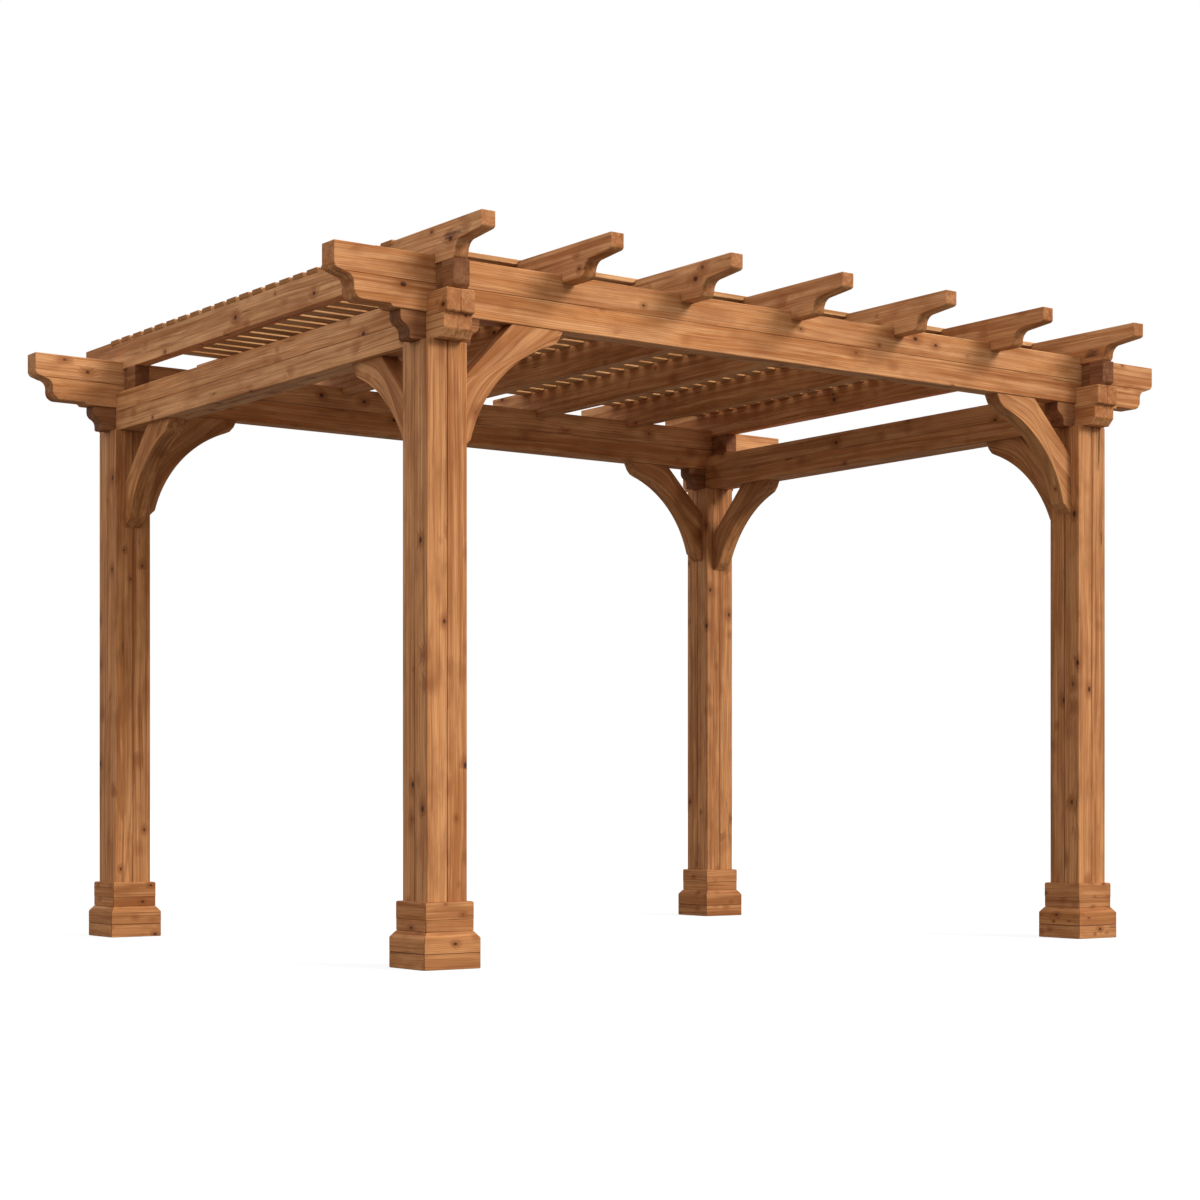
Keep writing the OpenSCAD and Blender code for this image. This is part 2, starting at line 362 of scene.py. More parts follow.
    def build(self) -> bpy.types.Material:
        """Builds the node material.

        Returns:
            A material that reads the piece's own grain, lay, tone and seam attributes.
        """
        material, add = new_material(self.name)
        pale, body, deep, dark = map(linear, (self.pale, self.body, self.deep, self.dark))
        grain = add(ATTRIBUTE, out="Vector", attribute_name="grain")
        lay = add(ATTRIBUTE, out="Vector", attribute_name="lay")
        tone = add(ATTRIBUTE, out="Fac", attribute_name="tone")
        seam = add(ATTRIBUTE, out="Fac", attribute_name="seam")
        bent = self.wandering(add, grain)
        darkest_wood, halo = self.knot_masks(add, bent)
        late = self.late_wood(add, bent, halo)
        check = self.drying_checks(add, grain, bent)
        patches = PATCHES.mask(add, grain)
        mottle = MOTTLE.mask(add, grain)
        streaks = STREAKS.mask(add, bent)
        veins = VEINS.mask(add, bent)
        fibres = FIBRES.mask(add, bent)

        # End grain drinks more oil and goes darker.
        normal = add(GEOMETRY, out="Normal")
        facing = add(VECTOR_MATH, (normal, lay), out="Value", operation="DOT_PRODUCT")
        squarely = add(MATH, (facing,), operation="ABSOLUTE")
        end = add(RANGE, (squarely, *self.end_edge), **SOFT)
        # Late wood shows less where the wood is dark already.
        ring = add(RANGE, (patches, 0.0, 1.0, self.rings, self.rings * self.faded_rings))
        ring = add(MATH, (ring, late), operation="MULTIPLY")
        # A seam is never quite clean: between the dirty lengths it still shows at this share.
        cleanest = 0.6
        worn = add(RANGE, (WORN.mask(add, grain), 0.0, 1.0, cleanest, 1.0))
        line = add(MATH, (seam, worn), operation="MULTIPLY")

        board = add(RANGE, (tone, 0.0, 1.0, *self.board_tones))
        colour = add(MIX, {0: board, 6: body, 7: pale}, out=2, data_type="RGBA")
        # Each layer's mask, how strongly it covers what lies under it, and its colour.
        layers = (
            (patches, 0.68, deep),
            (streaks, 0.68, pale),
            (veins, 0.55, deep),
            (mottle, 0.4, deep),
            (ring, 1.0, deep),
            (fibres, 0.34, deep),
            (end, self.end_grain, deep),
            (halo, 0.65, deep),
            (darkest_wood, 0.85, dark),
            (check, 0.62, dark),
            (line, 0.95, dark),
        )
        for mask, strength, tint in layers:
            share = add(MATH, (mask, strength), operation="MULTIPLY")
            colour = add(MIX, {0: share, 6: colour, 7: tint}, out=2, data_type="RGBA")

        # The relief in shares of bump_mm: raised late wood and fibres, sunk checks.
        relief = add(MATH, (fibres, 0.25), operation="MULTIPLY")
        for mask, height in ((late, 0.35), (streaks, 0.3), (check, -1.2)):
            relief = add(MATH, (mask, height, relief), operation="MULTIPLY_ADD")
        bump = add(
            BUMP, {"Strength": self.bump, "Distance": self.bump_mm * MM, "Height": relief}
        )
        rough = self.roughness + self.roughness_change
        smooth = self.roughness - self.roughness_change
        dull = add(RANGE, (streaks, 0.0, 1.0, rough, smooth))
        shader = add(
            PRINCIPLED,
            {
                "Base Color": colour,
                "Roughness": dull,
                "Normal": bump,
                "Specular IOR Level": self.shine,
            },
        )
        add(MATERIAL_OUTPUT, (shader,))
        return material


@dataclass(frozen=True)
class ScrewFinish:
    """Bronze-coated steel deck screws: a dull brown metal, rubbed thinner in patches."""

    name: str = "bronze coated steel"
    colour: str = "#5C4634"
    rubbed: str = "#8A6E55"
    # Size of the rubbed patches.
    rub_mm: float = 2.4
    # Where the coating is whole, and where it is rubbed, which is duller.
    roughness: tuple[float, float] = (0.35, 0.62)

    def build(self) -> bpy.types.Material:
        """Builds the node material.

        Returns:
            A dull metal.
        """
        material, add = new_material(self.name)
        place = add(COORDINATES, out="Object")
        rub = add(NOISE, {"Vector": place, "Scale": 1000 / self.rub_mm, "Detail": 2.0})
        dull = add(RANGE, (rub, 0.0, 1.0, *self.roughness))
        tint = add(
            MIX,
            {0: rub, 6: linear(self.colour), 7: linear(self.rubbed)},
            out=2,
            data_type="RGBA",
        )
        shader = add(PRINCIPLED, {"Base Color": tint, "Roughness": dull, "Metallic": 1.0})
        add(MATERIAL_OUTPUT, (shader,))
        return material


# ---- pieces


def store(mesh: bpy.types.Mesh, name: str, kind: str, values: list[float]) -> None:
    """Writes a point attribute on a mesh.

    Args:
        mesh: the mesh that gets it.
        name: the attribute's name.
        kind: FLOAT or FLOAT_VECTOR.
        values: one flat list, a value or three for each vertex.
    """
    attribute = mesh.attributes.new(name, kind, "POINT")
    attribute.data.foreach_set("vector" if kind == "FLOAT_VECTOR" else "value", values)


def close_cut(bm: bmesh.types.BMesh) -> None:
    """Closes the openings that a cut left, with flat faces.

    Args:
        bm: the mesh.
    """
    rims = [e for e in bm.edges if e.is_boundary]
    if rims:
        bmesh.ops.holes_fill(bm, edges=rims, sides=0)


@dataclass(frozen=True)
class Cut:
    """A plane where two boards or staves are glued together."""

    point: Vector
    normal: Vector

    def holds(self, face: bmesh.types.BMFace) -> bool:
        """True if a face lies in the plane."""
        return all(abs((v.co - self.point).dot(self.normal)) < TOUCH for v in face.verts)

    def split(self, bm: bmesh.types.BMesh) -> list[bmesh.types.BMesh]:
        """Cuts a closed mesh in two.

        Args:
            bm: the mesh, which is used up.

        Returns:
            The closed meshes on the two sides, or one if the plane misses the mesh.
        """
        halves = []
        for clear_outer in (True, False):
            half = bm.copy()
            bmesh.ops.bisect_plane(
                half,
                geom=half.verts[:] + half.edges[:] + half.faces[:],
                dist=MERGE,
                plane_co=self.point,
                plane_no=self.normal,
                clear_outer=clear_outer,
                clear_inner=not clear_outer,
            )
            close_cut(half)
            if half.faces:
                halves.append(half)
            else:
                half.free()
        bm.free()
        return halves


@dataclass
class Timber:
    """One CAD node made as a real timber: cut into its boards, with eased arrises and a grain."""

    node: str
    lay: Lay | Vector
    finish: bpy.types.Material
    slot: str
    cuts: list[Cut] = field(default_factory=list)
    # Planes where the timber lies tight against its neighbour.
    meets: list[Cut] = field(default_factory=list)
    # The plane and sandpaper take this much off each sharp edge.
    arris_mm: float = 3.0
    # Half the width of the groove at a glued seam.
    seam_mm: float = 1.7
    # A bend sharper than this counts as an edge, and a softer one as part of a curve.
    edge_angle: float = math.radians(26)
    # Faces that bend by less than this are one flat face.
    flat_angle: float = math.radians(0.4)
    # Curves are shaded smooth up to this bend, between faces whose areas differ by less than this.
    steepest: float = math.radians(35)
    most_alike: float = 4.0

    def glued(self, bm: bmesh.types.BMesh) -> set[bmesh.types.BMFace]:
        """The faces that lie in a seam."""
        return {f for f in bm.faces if any(seam.holds(f) for seam in self.cuts + self.meets)}

    def fibres(self, centre: Vector) -> Vector:
        """The direction of the fibres in a board whose middle is given."""
        return Vector(self.lay.value) if isinstance(self.lay, Lay) else self.lay

    def ease(self, bm: bmesh.types.BMesh) -> None:
        """Rounds the arrises and opens the seams of one board.

        Args:
            bm: the board's closed mesh.
        """
        bmesh.ops.dissolve_limit(
            bm, angle_limit=self.flat_angle, verts=bm.verts[:], edges=bm.edges[:]
        )
        bmesh.ops.recalc_face_normals(bm, faces=bm.faces[:])
        glued = self.glued(bm)
        sharp = [
            e
            for e in bm.edges
            if len(e.link_faces) == 2
            and not glued.intersection(e.link_faces)
            and e.calc_face_angle(0.0) > self.edge_angle
        ]
        bmesh.ops.bevel(
            bm, geom=sharp, offset=self.arris_mm * MM, segments=2, profile=0.5,
            affect="EDGES", clamp_overlap=True,
        )
        glued = self.glued(bm)
        rims = [e for e in bm.edges if sum(f in glued for f in e.link_faces) == 1]
        if rims:
            bmesh.ops.bevel(
                bm, geom=rims, offset=self.seam_mm * MM, segments=1,
                affect="EDGES", clamp_overlap=True,
            )
        bmesh.ops.dissolve_degenerate(bm, dist=MERGE, edges=bm.edges[:])

    def smooth_curves(self, bm: bmesh.types.BMesh) -> None:
        """Shades curves and eased arrises smooth, and splits them from the flats beside them.

        Args:
            bm: the board's mesh.
        """
        for face in bm.faces:
            face.smooth = True
        for edge in bm.edges:
            areas = sorted(max(f.calc_area(), 1e-9) for f in edge.link_faces)
            alike = len(areas) == 2 and areas[1] / areas[0] < self.most_alike
            edge.smooth = alike and edge.calc_face_angle(0.0) < self.steepest

    def in_board(self, at: Vector, centre: Vector, axes: tuple[Vector, Vector, Vector]) -> Vector:
        """A place in a board, measured along and across its fibres.

        Args:
            at: the place in the scene.
            centre: the middle of the board.
            axes: directions along, across and through the board.

        Returns:
            Distances in metres along the three directions.
        """
        offset = at - centre
        return Vector([offset.dot(axis) for axis in axes])

    def mark(self, bm: bmesh.types.BMesh, random: Random, out: dict[str, list[float]]) -> None:
        """Works out the grain attributes of one board.

        Args:
            bm: the board's mesh.
            random: the source of the board's place in its log.
            out: lists that get the values of each vertex.
        """
        centre = sum((v.co for v in bm.verts), Vector()) / len(bm.verts)
        along = self.fibres(centre).normalized()
        turn = Matrix.Rotation(random.uniform(0, math.tau), 3, along)
        side = turn @ along.orthogonal().normalized()
        axes = (along, side, along.cross(side))
        seams = self.cuts + self.meets
        place = Vector([random.uniform(low, high) for low, high in zip(LOG_LOW, LOG_HIGH)])
        tone = random.random()
        for v in bm.verts:
            out["grain"].extend(self.in_board(v.co, centre, axes) + place)
            out["lay"].extend(along)
            out["tone"].append(tone)
            in_seam = any(abs((v.co - seam.point).dot(seam.normal)) < TOUCH for seam in seams)
            out["seam"].append(1.0 if in_seam else 0.0)

    def build(self, frame: dict, random: Random) -> bpy.types.Object:
        """Makes the piece and gives it to the frame.

        Args:
            random: the source of the wood's variation.

        Returns:
            The finished object.
        """
        whole = bmesh.new()
        whole.from_mesh(frame["nodes"][self.node].data)
        bmesh.ops.remove_doubles(whole, verts=whole.verts[:], dist=MERGE)
        boards = [whole]
        for cut in self.cuts:
            boards = [half for board in boards for half in cut.split(board)]
        mesh = bpy.data.meshes.new(self.node + "_wood")
        joined = bmesh.new()
        marks: dict[str, list[float]] = {"grain": [], "lay": [], "tone": [], "seam": []}
        for board in boards:
            self.ease(board)
            self.smooth_curves(board)
            self.mark(board, random, marks)
            part = bpy.data.meshes.new("board")
            board.to_mesh(part)
            board.free()
            joined.from_mesh(part)
            bpy.data.meshes.remove(part)
        joined.to_mesh(mesh)
        joined.free()
        for name in ("grain", "lay"):
            store(mesh, name, "FLOAT_VECTOR", marks[name])
        for name in ("tone", "seam"):
            store(mesh, name, "FLOAT", marks[name])
        return hand_over(self.node + "_wood", mesh, self.finish, [self.node])


def hand_over(
    name: str, mesh: bpy.types.Mesh, finish: bpy.types.Material, nodes: list[str]
) -> bpy.types.Object:
    """Puts a finished mesh in the scene as a piece of the frame.

    Args:
        name: the piece's name.
        mesh: its mesh, already in place.
        finish: its material.
        nodes: the CAD nodes that it stands for.

    Returns:
        The object.
    """
    piece = bpy.data.objects.new(name, mesh)
    bpy.context.scene.collection.objects.link(piece)
    if not mesh.materials:
        mesh.materials.append(finish)
    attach(piece, BODY)
    if nodes:
        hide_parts(*nodes)
    LOG.info("%s: %d faces", name, len(mesh.polygons))
    return piece


@dataclass
class Ring(Timber):
    """Four boards mitred round a post, each with its grain along its own length."""

    def fibres(self, centre: Vector) -> Vector:
        """The fibres run along the board's side of the post.

        Args:
            centre: the middle of the board.

        Returns:
            Their direction.
        """
        low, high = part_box(self.node)
        away = centre - (low + high) / 2
        return Vector(Lay.ALONG_Y.value if abs(away.x) > abs(away.y) else Lay.ALONG_X.value)


@dataclass
class Brace(Timber):
    """An arched brace, whose fibres bend with the arch as in a naturally crooked plank."""

    # Directions from the post and beam's corner: along the beam, and through the brace.
    reach: Vector = field(default_factory=Vector)
    # How far the arch's centre lies from that corner, as a share of the brace's reach and drop.
    arch: float = 1.19
    arch_radius: float = 0.57

    def in_board(self, at: Vector, centre: Vector, axes: tuple[Vector, Vector, Vector]) -> Vector:
        """A place in the plank, measured round the arch, out from it and through it.

        Args:
            at: the place in the scene.
            centre: the middle of the board, which the arch doesn't need.
            axes: the straight directions, which the arch doesn't need.

        Returns:
            Distances in metres.
        """
        low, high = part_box(self.node)
        size, middle = high - low, (low + high) / 2
        span = abs(size.dot(self.reach))
        corner = middle - self.reach * span / 2 + Vector((0, 0, size.z / 2))
        hub = corner + self.reach * self.arch * span - Vector((0, 0, self.arch * size.z))
        out, up = (at - hub).dot(self.reach), at.z - hub.z
        through = (at - middle).dot(self.reach.cross(Vector((0, 0, 1))))
        around = self.arch_radius * math.atan2(up, -out)
        return Vector((around, math.hypot(out, up) - self.arch_radius, through))


@dataclass
class Posts:
    """The four posts, each glued up from four staves, and the boards boxed round their feet."""

    finish: bpy.types.Material
    base_finish: bpy.types.Material
    corners: tuple[str, ...] = ("front_left", "front_right", "back_left", "back_right")
    # Height of the glue line, as a share of the board's height.
    plinth_line: float = 0.42
    collar_line: float = 0.4
    post_arris_mm: float = 4.0
    board_arris_mm: float = 3.0
    seam_mm: float = 2.6

    def post(self, corner: str) -> Timber:
        """The post at a corner.

        Args:
            corner: the corner's name.

        Returns:
            The post, cut into four staves.
        """
        node = "post_" + corner
        low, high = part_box(node)
        middle = (low + high) / 2
        cuts = [Cut(middle, Vector((1, 0, 0))), Cut(middle, Vector((0, 1, 0)))]
        return Timber(
            node, Lay.UPRIGHT, self.finish, "posts", cuts,
            arris_mm=self.post_arris_mm, seam_mm=self.seam_mm,
        )

    def ring(self, node: str, line: float) -> Ring:
        """A ring of boards round a post.

        Args:
            node: the CAD node.
            line: height of its glue line, as a share of its height.

        Returns:
            The ring, mitred at its corners.
        """
        low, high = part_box(node)
        middle = (low + high) / 2
        level = Vector((middle.x, middle.y, low.z + line * (high.z - low.z)))
        cuts = [
            Cut(middle, Vector((1, 1, 0)).normalized()),
            Cut(middle, Vector((1, -1, 0)).normalized()),
            Cut(level, Vector((0, 0, 1))),
        ]
        return Ring(
            node, Lay.ALONG_X, self.base_finish, "base_boards", cuts,
            arris_mm=self.board_arris_mm, seam_mm=self.seam_mm,
        )

    def build(self, frame: dict, random: Random) -> None:
        """Builds the posts and their feet.

        Args:
            random: the source of the wood's variation.
        """
        for corner in self.corners:
            self.post(corner).build(frame, random)
            self.ring("plinth_" + corner, self.plinth_line).build(frame, random)
            self.ring("collar_" + corner, self.collar_line).build(frame, random)


@dataclass
class Beams:
    """Main beams and side beams, each plank glued up from two boards."""

    finish: bpy.types.Material
    mains: tuple[str, ...] = ("main_beam_front", "main_beam_back")
    planks: tuple[str, ...] = (
        "side_beam_left_outer",
        "side_beam_left_inner",
        "side_beam_right_inner",
        "side_beam_right_outer",
    )
    # Height of the glue line, as a share of the timber's height.
    line: float = 0.5
    arris_mm: float = 4.0
    seam_mm: float = 2.0

    def timber(self, node: str, lay: Lay) -> Timber:
        """A beam with a level glue line.

        Args:
            node: the CAD node.
            lay: which way its fibres run.

        Returns:
            The beam, cut into two boards, with a seam where it lies against its neighbour.
        """
        low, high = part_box(node)
        level = Vector((0, 0, low.z + self.line * (high.z - low.z)))
        meets = []
        if node.endswith(("left_outer", "right_inner")):
            meets = [Cut(high, Vector((1, 0, 0)))]
        elif node.endswith(("left_inner", "right_outer")):
            meets = [Cut(low, Vector((1, 0, 0)))]
        cuts = [Cut(level, Vector((0, 0, 1)))]
        return Timber(
            node, lay, self.finish, "beams", cuts, meets,
            arris_mm=self.arris_mm, seam_mm=self.seam_mm,
        )

    def build(self, frame: dict, random: Random) -> None:
        """Builds the beams.

        Args:
            random: the source of the wood's variation.
        """
        for node in self.mains:
            self.timber(node, Lay.ALONG_X).build(frame, random)
        for node in self.planks:
            self.timber(node, Lay.ALONG_Y).build(frame, random)


@dataclass
class Supports:
    """Corbels, blocks under the end rafters, and the arched braces."""

    # Finish of the corbels and blocks, darkened as painted shade.
    finish: bpy.types.Material
    brace_finish: bpy.types.Material
    # Each corner's sides of the middle, across and deep.
    corners: dict[str, tuple[int, int]] = field(
        default_factory=lambda: {
            "front_left": (-1, -1),
            "front_right": (1, -1),
            "back_left": (-1, 1),
            "back_right": (1, 1),
        }
    )

    def build(self, frame: dict, random: Random) -> None:
        """Builds the pieces at every corner.

        Args:
            random: the source of the wood's variation.
        """
        for corner, (side, depth) in self.corners.items():
            Timber("corbels_" + corner, Lay.ALONG_X, self.finish, "blocks").build(frame, random)
            Timber("blocks_" + corner, Lay.ALONG_Y, self.finish, "blocks").build(frame, random)
            for axis, reach in (("x", Vector((-side, 0, 0))), ("y", Vector((0, -depth, 0)))):
                slope = (reach + Vector((0, 0, 1))).normalized()
                node = "brace_%s_%s" % (corner, axis)
                Brace(node, slope, self.brace_finish, "braces", reach=reach).build(frame, random)


@dataclass
class Rafters:
    """The rafters, each sawn from one board."""

    finish: bpy.types.Material
    count: int = 7
    arris_mm: float = 3.5

    def build(self, frame: dict, random: Random) -> None:
        """Builds the rafters from left to right.

        Args:
            random: the source of the wood's variation.
        """
        for number in range(1, self.count + 1):
            node = "rafter_%d" % number
            rafter = Timber(node, Lay.ALONG_Y, self.finish, "rafters", arris_mm=self.arris_mm)
            rafter.build(frame, random)


# ---- what repeats


def new_tree(
    name: str, sizes: dict[str, str]
) -> tuple[bpy.types.NodeTree, Adder, dict[str, Socket]]:
    """Starts a geometry tree with named inputs.

    Args:
        name: the tree's name.
        sizes: each input's name, and what it holds, such as Int or Float.

    Returns:
        The tree, the function that adds nodes to it, and its inputs by name.
    """
    tree = bpy.data.node_groups.new(name, "GeometryNodeTree")
    tree.interface.new_socket("Geometry", in_out="INPUT", socket_type="NodeSocketGeometry")
    tree.interface.new_socket("Geometry", in_out="OUTPUT", socket_type="NodeSocketGeometry")
    for label, kind in sizes.items():
        tree.interface.new_socket(label, in_out="INPUT", socket_type="NodeSocket" + kind)
    start = add_node(tree, "NodeGroupInput").node
    return tree, partial(add_node, tree), {socket.name: socket for socket in start.outputs}


def grow(
    name: str, seed_mesh: bpy.types.Mesh, tree: bpy.types.NodeTree, values: dict[str, object]
) -> bpy.types.Mesh:
    """Runs a geometry tree on a mesh once and keeps the plain result.

    Args:
        name: the new mesh's name.
        seed_mesh: the mesh that the tree repeats.
        tree: the geometry tree.
        values: its inputs by name.

    Returns:
        The plain mesh.
    """
    holder = bpy.data.objects.new(name + "_holder", seed_mesh)
    bpy.context.scene.collection.objects.link(holder)
    modifier = holder.modifiers.new("repeat", "NODES")
    modifier.node_group = tree
    for item in tree.interface.items_tree:
        if item.item_type == "SOCKET" and item.in_out == "INPUT" and item.name in values:
            modifier[item.identifier] = values[item.name]
    shown = holder.evaluated_get(bpy.context.evaluated_depsgraph_get())
    mesh = bpy.data.meshes.new_from_object(shown)
    mesh.name = name
    holder.modifiers.remove(modifier)
    bpy.data.objects.remove(holder)
    return mesh


@dataclass
class Slats:
    """The roof slats, all alike, and the pairs of screws that hold them to the rafters."""

    finish: bpy.types.Material
    screw_finish: bpy.types.Material
    groups: tuple[str, ...] = (
        "slats_front", "slats_middle_front", "slats_middle_back", "slats_back",
    )
    count: int = 22
    rafters: int = 7
    arris_mm: float = 2.0
    # The slats are planed this much thinner than the CAD's, and the screw heads stand in the gap.
    planed_mm: float = 1.0
    # The sawn ends don't line up exactly.
    ends_mm: float = 2.5
    screw_r_mm: float = 4.5
    screw_gap_mm: float = 44.0
    screw_sides: int = 12
    # How much of the gap over the slats a screw head fills.
    screw_fill: float = 0.7
    # Rings of a screw head from below: radius, and level over the slat, as shares of the head's.
    # The floor of the recess lies above the slat, so it shows, and the head stays closed.
    screw_rings: tuple[tuple[float, float], ...] = (
        (1.0, -1.0), (1.0, 0.55), (0.86, 1.0), (0.34, 1.0), (0.28, 0.2),
    )
    # Rings below this share belong to the recess and are square.
    recess: float = 0.5
    # Screws are driven by eye, up to this far off the line.
    drift_mm: tuple[float, float, float] = (6.0, 4.0, 0.0)
    slat_seed: int = 7
    screw_seed: int = 11

    def measure(self) -> tuple[Vector, Vector, float]:
        """Works out the first slat's box and the pitch from the CAD.

        Returns:
            The first slat's lowest and highest corners, and the distance between slats.
        """
        boxes = [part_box(node) for node in self.groups]
        low = Vector(map(min, *[b[0] for b in boxes]))
        high = Vector(map(max, *[b[1] for b in boxes]))
        first_low, first_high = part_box(self.groups[0])
        in_first = math.ceil(self.count / len(self.groups))
        # Two spans and two counts give the width and the pitch.
        spread = (high.y - low.y) - (first_high.y - first_low.y)
        pitch = spread / (self.count - in_first)
        width = (high.y - low.y) - pitch * (self.count - 1)
        return low, Vector((high.x, low.y + width, high.z)), pitch

    def board(self, low: Vector, high: Vector) -> bpy.types.Mesh:
        """Makes the first slat.

        Args:
            low: its lowest corner.
            high: its highest corner.

        Returns:
            Its mesh with the grain attributes.
        """
        bm = bmesh.new()
        inset = Vector((self.ends_mm * MM, 0, 0))
        low, high = low + inset, high - inset - Vector((0, 0, self.planed_mm * MM))
        place = Matrix.Translation((low + high) / 2) @ Matrix.Diagonal((*(high - low), 1))
        bmesh.ops.create_cube(bm, size=1, matrix=place)
        bmesh.ops.bevel(
            bm, geom=bm.edges[:], offset=self.arris_mm * MM, segments=2, profile=0.5,
            affect="EDGES",
        )
        mesh = bpy.data.meshes.new("slat")
        bm.to_mesh(mesh)
        bm.free()
        centre = (low + high) / 2
        grain = [c for v in mesh.vertices for c in v.co - centre]
        store(mesh, "grain", "FLOAT_VECTOR", grain)
        store(mesh, "lay", "FLOAT_VECTOR", [1.0, 0.0, 0.0] * len(mesh.vertices))
        store(mesh, "seam", "FLOAT", [0.0] * len(mesh.vertices))
        return mesh

    def tree(self) -> bpy.types.NodeTree:
        """Builds the tree that lays the slats out.

        Returns:
            A tree with Count, Pitch, Ends, Seed and Finish inputs.
        """
        tree, add, given = new_tree(
            "slat_row",
            {
                "Count": "Int",
                "Pitch": "Float",
                "Ends": "Float",
                "Seed": "Int",
                "Finish": "Material",
            },
        )
        step = add(VECTOR, {"Y": given["Pitch"]})
        row = add("GeometryNodeMeshLine", {"Count": given["Count"], "Offset": step}, mode="OFFSET")
        least = add(VECTOR, {"X": add(MATH, (given["Ends"], -1.0), operation="MULTIPLY")})
        most = add(VECTOR, {"X": given["Ends"]})
        slip = add(RANDOM, {0: least, 1: most, 8: given["Seed"]}, data_type="FLOAT_VECTOR")
        moved = add("GeometryNodeSetPosition", {"Geometry": row, "Offset": slip})
        laid = add("GeometryNodeInstanceOnPoints", {"Points": moved, "Instance": given["Geometry"]})
        # Each slat is cut from its own place in a log.
        log = add(
            RANDOM,
            {0: LOG_LOW, 1: LOG_HIGH, 8: given["Seed"]},
            data_type="FLOAT_VECTOR",
        )
        shade = add(RANDOM, {2: 0.0, 3: 1.0, 8: given["Seed"]}, out=1, data_type="FLOAT")
        for name, value, kind in (("log", log, "FLOAT_VECTOR"), ("tone", shade, "FLOAT")):
            laid = add(
                STORE,
                {"Geometry": laid, "Name": name, "Value": value},
                data_type=kind,
                domain="INSTANCE",
            )
        real = add("GeometryNodeRealizeInstances", {"Geometry": laid})
        own = add(READ, {"Name": "grain"}, data_type="FLOAT_VECTOR")
        place = add(READ, {"Name": "log"}, data_type="FLOAT_VECTOR")
        total = add(VECTOR_MATH, (own, place), operation="ADD")
        grained = add(
            STORE,
            {"Geometry": real, "Name": "grain", "Value": total},
            data_type="FLOAT_VECTOR",
            domain="POINT",
        )
        dressed = add("GeometryNodeSetMaterial", {"Geometry": grained, "Material": given["Finish"]})
        add("NodeGroupOutput", (dressed,))
        return tree

    def screw_pair(self, middle: Vector) -> bpy.types.Mesh:
        """Makes two screw heads on a slat, each with a square recess.

        Args:
            middle: the point on the slat's top between them.

        Returns:
            Their mesh.
        """
        bm = bmesh.new()
        radius = self.screw_r_mm * MM
        height = self.planed_mm * MM * self.screw_fill
        first_angle = math.pi / 4
        for side in (-1, 1):
            centre = middle + Vector((0, side * self.screw_gap_mm * MM / 2, 0))
            rings = []
            for share, level in self.screw_rings:
                points = []
                for i in range(self.screw_sides):
                    angle = first_angle + i * math.tau / self.screw_sides
                    squared = 1.0
                    if share < self.recess:
                        squared = 1 / max(abs(math.cos(angle)), abs(math.sin(angle)))
                    spot = Vector((math.cos(angle), math.sin(angle), 0)) * radius * share * squared
                    points.append(bm.verts.new(centre + spot + Vector((0, 0, level * height))))
                rings.append(points)
            for inner, outer in zip(rings[1:], rings[:-1]):
                for i in range(self.screw_sides):
                    j = (i + 1) % self.screw_sides
                    bm.faces.new((outer[i], outer[j], inner[j], inner[i]))
            bm.faces.new(rings[-1])
            bm.faces.new(list(reversed(rings[0])))
        bmesh.ops.recalc_face_normals(bm, faces=bm.faces[:])
        mesh = bpy.data.meshes.new("screw_pair")
        bm.to_mesh(mesh)
        bm.free()
        return mesh

    def screw_tree(self) -> bpy.types.NodeTree:
        """Builds the tree that puts a pair of screws at each crossing.

        Returns:
            A tree with Across, Deep, Width, Depth, Seed and Finish inputs.
        """
        tree, add, given = new_tree(
            "screw_grid",
            {
                "Across": "Int",
                "Deep": "Int",
                "Width": "Float",
                "Depth": "Float",
                "Seed": "Int",
                "Finish": "Material",
            },
        )
        grid = add(
            "GeometryNodeMeshGrid", (given["Width"], given["Depth"], given["Across"], given["Deep"])
        )
        most = tuple(mm * MM for mm in self.drift_mm)
        least = tuple(-metres for metres in most)
        slip = add(RANDOM, {0: least, 1: most, 8: given["Seed"]}, data_type="FLOAT_VECTOR")
        moved = add("GeometryNodeSetPosition", {"Geometry": grid, "Offset": slip})
        placed = {"Points": moved, "Instance": given["Geometry"]}
        heads = add("GeometryNodeInstanceOnPoints", placed)
        real = add("GeometryNodeRealizeInstances", {"Geometry": heads})
        dressed = add("GeometryNodeSetMaterial", {"Geometry": real, "Material": given["Finish"]})
        add("NodeGroupOutput", (dressed,))
        return tree

    def build(self) -> None:
        """Builds the slats and their screws."""
        low, high, pitch = self.measure()
        row = grow(
            "slat_boards",
            self.board(low, high),
            self.tree(),
            {
                "Count": self.count,
                "Pitch": pitch,
                "Ends": self.ends_mm * MM,
                "Seed": self.slat_seed,
                "Finish": self.finish,
            },
        )
        hand_over("slat_boards", row, self.finish, list(self.groups))
        first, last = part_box("rafter_1"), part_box("rafter_%d" % self.rafters)
        middle_y = (low.y + high.y) / 2 + pitch * (self.count - 1) / 2
        top = high.z - self.planed_mm * MM
        grid = grow(
            "slat_screws",
            self.screw_pair(Vector((0, middle_y, top))),
            self.screw_tree(),
            {
                "Across": self.rafters,
                "Deep": self.count,
                "Width": (last[0].x + last[1].x - first[0].x - first[1].x) / 2,
                "Depth": pitch * (self.count - 1),
                "Seed": self.screw_seed,
                "Finish": self.screw_finish,
            },
        )
        hand_over("slat_screws", grid, self.screw_finish, [])


# ---- studio


